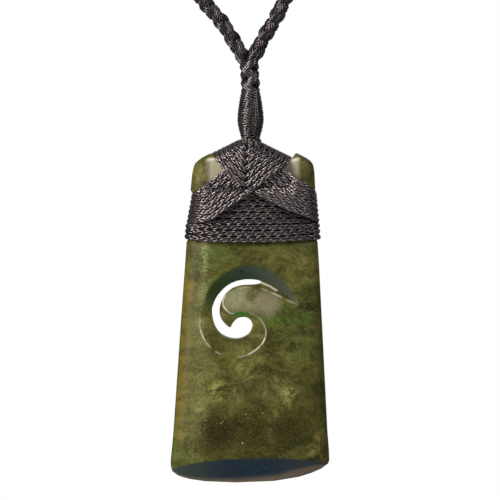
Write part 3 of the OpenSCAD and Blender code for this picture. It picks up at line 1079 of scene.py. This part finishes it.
# %% [markdown]
# ## Waxed cord
#
# Waxed polyester is almost black, with a soft shine where a strand crests. The wax makes
# the shine patchy, so a fine noise varies the roughness and the colour a little. The bands
# shine most, the thread and the level turns less, and the plait least. The level turns get a
# less shiny copy of the finish, which is painted shade on them.

# %% The cord material
CORD_DARK = (0.004, 0.0035, 0.005, 1)
CORD_WORN = (0.026, 0.020, 0.017, 1)
CORD_SHINE = (1, 0.855, 0.85, 1)


def waxed_cord(name, shine):
    """Near-black waxed thread with a patchy soft shine."""
    material, look, place = start_material(name)
    fuzz = look.noise(place, 2400.0, 3.0, 0.7)
    patches = look.noise(place, 420.0, 3.0, 0.6)
    look.colour = CORD_DARK
    look.lay(CORD_WORN, 1.0, look.ramp(fuzz, 0.35, 0.75), look.ramp(patches, 0.3, 0.7))
    look.surface({
        "Roughness": look.spread(patches, 0.3, 0.7, 0.28, 0.38), "IOR": 1.8,
        "Normal": look.bump(fuzz, 0.2), "Specular Tint": CORD_SHINE, "Specular IOR Level": shine})
    return material


band_finish = waxed_cord("waxed_cord", 1.0)
# A less shiny copy of the cord finish: painted shade on the level turns
level_finish = waxed_cord("waxed_cord_shaded", 0.62)
thread_finish = waxed_cord("waxed_thread", 0.66)
plait_finish = waxed_cord("waxed_plait", 0.38)
print("four cord finishes ready")

# %% [markdown]
# ## The level turns
#
# Eight turns of cord lie side by side round the waist of the stone. Each turn is a closed
# route round the same section as the stone, a cord's radius clear of it. The stack is a
# little taller in the middle of the face than at the sides, and small even waves keep the
# turns from looking machined. A thin fillet of the dark cord fills the furrow above each
# turn as painted shade, so that no stone shows between them.

# %% Level turns
CORD_R = 0.55
STRANDS_EACH_WAY = 4
STRAND_R = 0.15
STRAND_OUT = 0.33
STRAND_WEAVE = 0.06
CORD_PERIOD = 6.6
CORD_ROLL = math.pi / 8
BRAID_STEPS = 24
LEVEL_TURNS = 8
# Heights of the top and the foot in the middle of the face, then the same at the sides
LEVEL = [-7.1, -15.3, -7.4, -14.65]
LEVEL_GAP = 0.16
LEVEL_STATIONS = 96
LEVEL_WAVE = 0.05
LEVEL_PHASE = 0.37
FILLET_R = 0.22
FILLET_OUT = 0.12


def section_normals(angle, drop):
    """Which way the stone's side faces at an angle round a section."""
    across, depth = squircle(angle)
    left, right = sides_at(drop)
    n_x = np.sign(across) * np.abs(across) ** (SECTION_POWER - 1) / ((right - left) / 2)
    n_y = np.sign(depth) * np.abs(depth) ** (SECTION_POWER - 1) / half_thickness(drop)
    return unit_rows(np.stack([n_x, n_y, np.zeros_like(n_x)], axis=1))


def level_route(turn, lift=CORD_R):
    """The route of one level turn and the outward directions along it."""
    angle = np.linspace(0, 2 * np.pi, LEVEL_STATIONS, endpoint=False)
    share = (turn + 0.5) / LEVEL_TURNS
    side = squircle(angle)[0] ** 2
    top = LEVEL[0] + (LEVEL[2] - LEVEL[0]) * side
    foot = LEVEL[1] + (LEVEL[3] - LEVEL[1]) * side
    drop = -(top + (foot - top) * share) + LEVEL_WAVE * np.sin(angle * 3 + 2.1 * turn)
    x, y, z = skin(angle, drop, LEVEL_GAP + lift)
    return np.stack([x, y, z], axis=1), section_normals(angle, drop)


def cord_strands(route, normals, closed, phase):
    """The strands of a lashing cord along a route in the stone's own millimetres."""
    strands = braid(route, normals, closed, STRANDS_EACH_WAY, CORD_PERIOD, STRAND_OUT,
                    STRAND_WEAVE, BRAID_STEPS, phase, CORD_ROLL)
    return [in_world(strand) for strand in strands]


strands = []
for turn in range(LEVEL_TURNS):
    strands += cord_strands(*level_route(turn), True, LEVEL_PHASE * turn)
level = round_cords("level_turns", strands, STRAND_R * MM, True)
# Dark fillets in the furrows between the turns: painted shade, where the gaps would be dark
fillets = [in_world(level_route(turn - 0.5, FILLET_OUT)[0]) for turn in range(LEVEL_TURNS)]
level = join("level_turns", level, round_cords("shade_fillets", fillets, FILLET_R * MM, True))
dress(level, level_finish, "lashing_level")
wound = sum(route_length(level_route(turn)[0], True) for turn in range(LEVEL_TURNS))
print("level turns take", round(wound), "mm of cord")

# %% [markdown]
# ## The slanting bands
#
# One cord is wound from shoulder to shoulder over the notch, first to one side and then to
# the other, so the two bands interlock like a herringbone: left of the middle the cords
# from the left lie on top, and right of it the cords from the right do. Each band is drawn
# as six closed turns. A route is laid flat on the stone first, and its height above the
# stone is worked out afterwards from where it is: over the level turns it rides up by one
# cord, and where it crosses over the other band by one more.
#
# Each row of the tables crosses a band: the place of its one edge, then of its other.

# %% Values of the slanting bands
BAND_CORDS = 6
BAND_SMOOTH = 10
BAND_STATIONS = 240
BAND_PHASE = 0.23
LASHED_T = 0.85 * STONE_T / 2
TURN_R = 2.4
# Shares of the way from the ridge to the first row that the rounded top takes up
RIDGE_ACROSS = 0.5
RIDGE_DOWN = 0.8
# How high a cord is lifted, and the depths and the distances from the middle over which it
# climbs onto the level turns
GAP = 0.12
OVER_LEVEL = 1.16
ONTO_LEVEL = (5.8, 7.0)
ONTO_SIDES = (6.5, 8)
OVER_BAND = 0.95
CENTRE = -0.3
# By the hand of a band: how far past the middle it comes to lie on top, and the upper edge
# of the band that it crosses, as a place and a slope
ON_TOP = {1: (0.1, 0.75), -1: (-0.6, 0.05)}
CROSSED_EDGE = {1: (-1.9, -0.6, 0.852), -1: (2, -1, -0.571)}
CROSSED_LEAD = 0.7
RIDGE_TURN = [90, 60, 30]
SIDE_TURN = [30, 60, 90]
LEFT_RIDGE = [-5.9, -0.95, -1.4, 1.25]
LEFT_ROWS = [
    [-4.9, -2.6, 2, -1], [-3.4, -4.3, 3.4, -2], [-1.7, -5.6, 4.7, -2.8], [0.3, -6.75, 5.9, -3.3],
    [2.4, -7.75, 6.9, -3.6], [4.6, -8.85, 7.6, -4.2], [6.8, -9.9, 8.2, -4.75]]
LEFT_SIDE = [[8.0, -10.7, 8.6, -5.35], [9.1, -11.35, 9.0, -6.2], [9.5, -11.85, 9.0, -6.95]]
RIGHT_RIDGE = [6.8, -1.75, 0.95, 1.05]
RIGHT_ROWS = [
    [3.5, -4.15, -1.9, -0.6], [1.9, -5.5, -3.1, -1.7], [0.2, -6.95, -4.4, -2.9],
    [-1.6, -8.1, -5.6, -3.85], [-3.5, -9.3, -6.6, -4.65], [-5, -10.4, -7.3, -5.2],
    [-6.2, -11.3, -7.8, -5.65]]
RIGHT_SIDE = [[-6.9, -11.75, -7.5, -6.1], [-7.9, -11.95, -7.7, -6.7], [-8.5, -11.95, -7.6, -7.2]]

print("each band has", BAND_CORDS, "cords")

# %% Routes of the slanting bands


def flat_band_route(ridge, rows, side, hand, share):
    """Stations of one cord of a band, each a place on the stone and an outward direction."""
    def between(row):
        return row[0] + (row[2] - row[0]) * share, row[1] + (row[3] - row[1]) * share

    top_x, top_z = between(ridge)
    first_x, first_z = between(rows[0])
    run, climb = ridge[2] - ridge[0], ridge[3] - ridge[1]
    length = math.hypot(run, climb)
    up = (-hand * abs(climb) / length, abs(run) / length)
    stations = []
    for degrees in RIDGE_TURN:
        s = math.radians(degrees)
        gone = 1 - math.sin(s)
        stations.append([top_x + (first_x - top_x) * RIDGE_ACROSS * gone, -LASHED_T * math.cos(s),
                         top_z + (first_z - top_z) * RIDGE_DOWN * gone,
                         up[0] * math.sin(s), -math.cos(s), up[1] * math.sin(s)])
    for row in rows:
        x, z = between(row)
        stations.append([x, -LASHED_T, z, 0, -1, 0])
    for degrees, row in zip(SIDE_TURN, side):
        s = math.radians(degrees)
        x, z = between(row)
        y = -(LASHED_T - TURN_R) - TURN_R * math.cos(s)
        stations.append([x, y, z, hand * math.sin(s), -math.cos(s), 0])
    behind = [[x, -y, z, n_x, -n_y, n_z] for x, y, z, n_x, n_y, n_z in stations[-2:0:-1]]
    return np.array(stations + behind)


def band_height(x, z, hand):
    """How high a band's cord rides above the stone at a place, by the rule of the weave."""
    over_level = np.maximum(soft_step(-z, *ONTO_LEVEL), soft_step(np.abs(x), *ONTO_SIDES))
    on_top = soft_step(hand * (CENTRE - x), *ON_TOP[hand])
    edge_x, edge_z, slope = CROSSED_EDGE[hand]
    crossing = soft_step(edge_z + slope * (x - edge_x) + CROSSED_LEAD - z, 0, 1)
    return GAP + OVER_LEVEL * over_level + OVER_BAND * on_top * crossing


def band_route(ridge, rows, side, hand, cord):
    """The route of one cord of a band, lifted clear of all that it lies on."""
    share = (cord + 0.5) / BAND_CORDS
    stations = smooth(flat_band_route(ridge, rows, side, hand, share), closed=True, steps=BAND_SMOOTH)
    places, outward = even_route(
        stations[:, :3], unit_rows(stations[:, 3:]), BAND_STATIONS, True)
    height = band_height(places[:, 0], places[:, 2], hand) + CORD_R
    return places + height[:, None] * outward, outward


def slanting_band(name, node, ridge, rows, side, hand):
    """All the cords of one band as a piece."""
    made = []
    wound = 0
    for cord in range(BAND_CORDS):
        route, outward = band_route(ridge, rows, side, hand, cord)
        made += cord_strands(route, outward, True, BAND_PHASE * cord)
        wound += route_length(route, True)
    piece = round_cords(name, made, STRAND_R * MM, True)
    dress(piece, band_finish, node)
    print(name, "takes", round(wound), "mm of cord")


slanting_band("band_from_left", "lashing_left", LEFT_RIDGE, LEFT_ROWS, LEFT_SIDE, 1)
slanting_band("band_from_right", "lashing_right", RIGHT_RIDGE, RIGHT_ROWS, RIGHT_SIDE, -1)

# %% [markdown]
# ## The whipping
#
# Above the notch all the cord ends are gathered and bound with fine thread, tight at the
# foot and full in the middle. A turned core gives the bulb its shape. A two-ply thread is
# wound round it in one long helix, and two columns of short oblique stitches run up the
# front, where each turn was locked under the last. Below it the gathered ends spread out
# into the notch, over a small wad that fills the space between the bands.

# %% Values of the whipping
WHIPPING_D = 4.5
# Height above the stone's top, and the share of the full width there
WHIPPING = [
    [2.3, 0.68], [3.6, 0.84], [5, 0.98], [5.8, 1], [7, 0.96], [8.4, 0.88], [9.6, 0.79],
    [10.5, 0.69], [10.9, 0.6]]
WHIP_AXIS = 0.1
WHIP_PITCH = 0.37
WHIP_PLY_R = 0.15
WHIP_PLY_OUT = 0.07
WHIP_PLY_PERIOD = 3.4
WHIP_PLY_STEPS = 20
WHIP_TURN_STEPS = 40
CORE_SIDES = 32
CORE_INSET = 1.6 * WHIP_PLY_R
# A stitch: across in half widths, up in pitches, and how far it is raised
HITCH = [
    [-1.2, 1.5, -0.18], [-0.6, 1.0, 0], [0.3, 0.2, 0.04], [0.55, -0.1, 0.04],
    [0.4, -0.5, -0.12]]
HITCH_R = 0.13
HITCH_SMOOTH = 3
HITCH_MARGIN = 0.2
HITCH_PITCH = 0.46
# The columns of stitches: degrees from the front, bend, half width and lift
HITCH_COLUMNS = [(-12, -6, 0.8, 0.12), (28, 4, 0.7, 0.04)]
# The gathered ends: height, half width and half depth
BUNDLE = [[2.9, 0.95, 0.95], [2.1, 1.3, 1.2], [1.0, 1.9, 1.7], [-0.4, 2.6, 2.0], [-1.6, 3.3, 2.0]]
BUNDLE_CORDS = 10
BUNDLE_PHASE = 0.3
WAD = [[-4.6, -2.45], [-6.35, -0.02], [-1.83, 2.32], [1.37, 2.13], [7.2, -0.75], [5.6, -2.35]]
WAD_T = 1.2
WAD_ROUND = 0.5
CORD_SMOOTH = 8
THREAD_FROM = 2.5
THREAD_TO = 10.75
whipping_table = np.array(WHIPPING)
print("the thread goes round", round((THREAD_TO - THREAD_FROM) / WHIP_PITCH, 1), "times")

# %% Helpers for the whipping


def whipping_r(height):
    """Radius of the whipping at a height above the stone's top."""
    return np.interp(height, whipping_table[:, 0], whipping_table[:, 1]) * WHIPPING_D / 2


def turned(profile, middle, axis):
    """Rings of a turned shape: profile rows are (height along the axis, radius)."""
    around = np.linspace(0, 2 * np.pi, CORE_SIDES + 1)
    first, second = [k for k in range(3) if k != axis]
    rings = np.zeros((len(profile), CORE_SIDES + 1, 3))
    for ring, (height, radius) in zip(rings, profile):
        ring[:, first] = radius * np.cos(around)
        ring[:, second] = radius * np.sin(around)
        ring[:, axis] = height
    return rings + np.array(middle)


def ply(points, normals, period, middle_r, steps):
    """Two strands twisted together along a route."""
    periods = round(route_length(points) / period)
    places, outward = even_route(points, normals, periods * steps, False)
    _, out, side = frame_along(places, outward, False)
    turn = 2 * np.pi * np.arange(len(places)) / steps
    return [places + middle_r * round_route(turn + start, out, side) for start in (0, np.pi)]


def hitch_column(degrees, bend, width, lift):
    """A column of short oblique stitches up the whipping."""
    made = []
    for start in np.arange(THREAD_FROM + HITCH_MARGIN, THREAD_TO - HITCH_MARGIN, HITCH_PITCH):
        share = (start - THREAD_FROM) / (THREAD_TO - THREAD_FROM)
        middle = math.radians(degrees - 90 + bend * math.sin(2 * math.pi * share))
        stitch = []
        for across, rise, raised in HITCH:
            up = start + rise * HITCH_PITCH
            out = whipping_r(up) + lift + raised
            at = middle + across * width / out
            stitch.append([WHIP_AXIS + out * math.cos(at), out * math.sin(at), up])
        made.append(in_world(smooth(stitch, steps=HITCH_SMOOTH)))
    return made


print("radius of the whipping, foot and top:", np.round(whipping_r([THREAD_FROM, THREAD_TO]), 2))

# %% Binding the whipping
core_profile = [(WHIPPING[0][0], 0)]
core_profile += [(height, share * WHIPPING_D / 2 - CORE_INSET) for height, share in WHIPPING]
core_profile += [(WHIPPING[-1][0], 0)]
core = wrap_sheet("whipping_core", in_world(turned(core_profile, (WHIP_AXIS, 0, 0), 2)))

turns_up = (THREAD_TO - THREAD_FROM) / WHIP_PITCH
angle = np.linspace(0, 2 * np.pi * turns_up, round(WHIP_TURN_STEPS * turns_up))
height = THREAD_FROM + WHIP_PITCH * angle / (2 * np.pi)
reach = whipping_r(height) - WHIP_PLY_R
helix = np.stack([WHIP_AXIS + reach * np.cos(angle), reach * np.sin(angle), height], axis=1)
facing = np.stack([np.cos(angle), np.sin(angle), np.zeros_like(angle)], axis=1)
thread = ply(helix, facing, WHIP_PLY_PERIOD, WHIP_PLY_OUT, WHIP_PLY_STEPS)
whipping_turns = round_cords("whipping_turns", [in_world(strand) for strand in thread],
                             WHIP_PLY_R * MM, False)
stitches = []
for column in HITCH_COLUMNS:
    stitches += hitch_column(*column)
hitches = round_cords("hitches", stitches, HITCH_R * MM, False)

ends = []
for at in np.arange(BUNDLE_CORDS) * 2 * np.pi / BUNDLE_CORDS - np.pi / 2:
    line = smooth([[WHIP_AXIS + wide * math.cos(at), deep * math.sin(at), up]
                   for up, wide, deep in BUNDLE], steps=CORD_SMOOTH)
    outward = np.tile([math.cos(at), math.sin(at), 0.0], (len(line), 1))
    ends += cord_strands(line, outward, False, BUNDLE_PHASE * at)
gathered = round_cords("gathered_ends", ends, STRAND_R * MM, False)
wad = prism("wad", WAD, WAD_T)
shape_with(wad, "BEVEL", width=WAD_ROUND * MM, segments=3)
whipping = join("whipping_bound", core, whipping_turns, hitches, gathered, wad)
dress(whipping, thread_finish, "whipping")

# %% [markdown]
# ## The neck plait
#
# The neck cord is a round plait of four fat strands, each a bundle of yarns with a slow
# twist. A short stem rises from the whipping and divides in two, and each side runs over
# the collarbones and shoulders to the nape, where it goes into a small barrel. Past the
# shoulder the left side mirrors the right one. Where the two sides leave the stem they are
# drawn in, so that no end shows.

# %% Values of the neck plait
PLAIT_PERIOD = 7.1
PLAIT_OUT = 0.62
PLAIT_WEAVE = 0.15
PLAIT_ROLL = math.pi / 8
PLAIT_STEPS = 14
PLAIT_FACING = [0.0, -1.0, 0.25]
YARNS = 8
YARN_OUT = 0.49
YARN_R = 0.2
YARN_TWIST = 13.0
YARN_PHASE = 0.8
# At the fork the yarns stand this share of their way out, and all of it so far up the plait
DRAWN_IN = 0.8
DRAWN_OVER = 2.5
STEM_LINE = [[WHIP_AXIS, 0, 10.5], [0.05, 0, 12.4], [-0.1, 0, 14.2], [-0.1, 0, 16.2]]
STEM_PERIOD = 4.8
STEM_OUT = 0.95
STEM_ROLL = math.pi / 4
STEM_PHASE = 0.1
FORK = [-0.1, 14.8]
FORK_GAP = 0.1
ROUTE_RIGHT = [
    [1.25, -118, -147.5], [2.55, -118, -145], [4.4, -118, -142], [7.6, -117.5, -135.5],
    [13.5, -116, -124], [21.5, -113, -110], [30.5, -107.5, -94], [39.5, -99.5, -77.5],
    [48, -89, -61], [55.5, -76, -45.5], [61, -61.5, -31.5], [64, -46.5, -20], [62.5, -32, -11],
    [56.5, -18.5, -5], [46.5, -8, -1.5], [33.5, -1, -0.3], [19, 2.4, 0], [8, 3.1, 0],
    [2, 3.1, 0]]
ROUTE_LEFT = [
    [-1.85, -118, -147.5], [-3.35, -118, -145], [-5.1, -118, -142.4], [-9.8, -117.5, -136.6],
    [-16, -116, -125.5], [-23.5, -113, -111.5], [-31.5, -107.5, -95], [-40, -99.5, -78],
    [-48.3, -89, -61.3]]
ROUTE_LEFT += [[-across, depth, up] for across, depth, up in ROUTE_RIGHT[len(ROUTE_LEFT):]]
print("each side of the neck runs through", len(ROUTE_RIGHT), "points")

# %% Plaiting


def plait(route, normals, period, reach, phase, roll, start_share=1.0):
    """Every yarn of a plait along a route in millimetres."""
    made = []
    for k, strand in enumerate(braid(route, normals, False, 2, period, reach, PLAIT_WEAVE,
                                     PLAIT_STEPS, phase, roll)):
        spine, outward = even_route(route, normals, len(strand) - 1, False)
        _, out, side = frame_along(strand, strand - spine, False)
        along = np.linspace(0, route_length(spine), len(strand))
        full = (start_share + (1 - start_share) * soft_step(along, 0, DRAWN_OVER))[:, None]
        twist = 2 * np.pi * along / YARN_TWIST + YARN_PHASE * k
        for angle in 2 * np.pi * np.arange(YARNS) / YARNS:
            off = strand - spine + YARN_OUT * round_route(twist + angle, out, side)
            made.append(spine + full * off)
    return made


def plait_side(name, node, route, hand, phase):
    """One side of the neck plait, from the fork to the nape."""
    fork = np.array(HANG) / MM + [FORK[0] + FORK_GAP * hand, -FORK_GAP * hand, FORK[1]]
    line = smooth(np.vstack([fork, route]), steps=CORD_SMOOTH)
    way = unit_rows(np.gradient(line, axis=0))
    outward = unit_rows(np.cross(unit_rows(np.cross(PLAIT_FACING, way)), way))
    yarns = plait(line, outward, PLAIT_PERIOD, PLAIT_OUT, phase, -hand * PLAIT_ROLL, DRAWN_IN)
    piece = round_cords(name, [yarn * MM for yarn in yarns], YARN_R * MM, False, 0)
    dress(piece, plait_finish, node)
    print(name, "is", round(route_length(line)), "mm long")


stem_line = smooth(STEM_LINE, steps=CORD_SMOOTH)
stem_normals = np.tile([0.0, -1.0, 0.0], (len(stem_line), 1))
stem_yarns = plait(stem_line, stem_normals, STEM_PERIOD, STEM_OUT, STEM_PHASE, STEM_ROLL)
stem = round_cords("stem_plait_strands", [in_world(yarn) for yarn in stem_yarns],
                   YARN_R * MM, False)
dress(stem, thread_finish, "stem_plait")
plait_side("neck_plait_left", "plait_left", ROUTE_LEFT, -1, 0.05)
plait_side("neck_plait_right", "plait_right", ROUTE_RIGHT, 1, 0.3)

# %% [markdown]
# ## The barrel at the nape
#
# The closure is out of the picture, so it is finished plainly: a small turned barrel with
# rounded ends, a groove near each end, and a blind socket for each plait.

# %% Barrel
BARREL_END = 7.0
BARREL_R = 3.0
BARREL_Y = 3.1
SOCKET_R = 1.52
SOCKET_FROM = 1.8
GROOVE = 0.18
BARREL_SHARP_FROM = math.radians(35)
SATIN_DARK = (0.014, 0.013, 0.013, 1)
SATIN_WORN = (0.03, 0.027, 0.026, 1)
half_barrel = [
    (SOCKET_FROM, 0), (SOCKET_FROM, SOCKET_R), (BARREL_END - 0.25, SOCKET_R),
    (BARREL_END, SOCKET_R + 0.25), (BARREL_END, BARREL_R - 0.7),
    (BARREL_END - 0.1, BARREL_R - 0.4), (BARREL_END - 0.3, BARREL_R - 0.15),
    (BARREL_END - 0.6, BARREL_R), (BARREL_END - 1.6, BARREL_R),
    (BARREL_END - 1.75, BARREL_R - GROOVE), (BARREL_END - 1.95, BARREL_R - GROOVE),
    (BARREL_END - 2.1, BARREL_R)]
barrel_profile = half_barrel + [(-along, radius) for along, radius in half_barrel[::-1]]
barrel = wrap_sheet("nape_barrel_turned", turned(barrel_profile, (0, BARREL_Y, 0), 0) * MM)
bpy.ops.object.shade_smooth_by_angle(angle=BARREL_SHARP_FROM)


def satin_black():
    """Plain black satin with a fine grain."""
    material, look, place = start_material("satin_black")
    grain = look.noise(place, 1800.0, 3.0, 0.6)
    look.colour = look.mix(grain, SATIN_DARK, SATIN_WORN)
    look.surface({"Roughness": look.spread(grain, 0.0, 1.0, 0.3, 0.5)})
    return material


dress(barrel, satin_black(), "nape_barrel")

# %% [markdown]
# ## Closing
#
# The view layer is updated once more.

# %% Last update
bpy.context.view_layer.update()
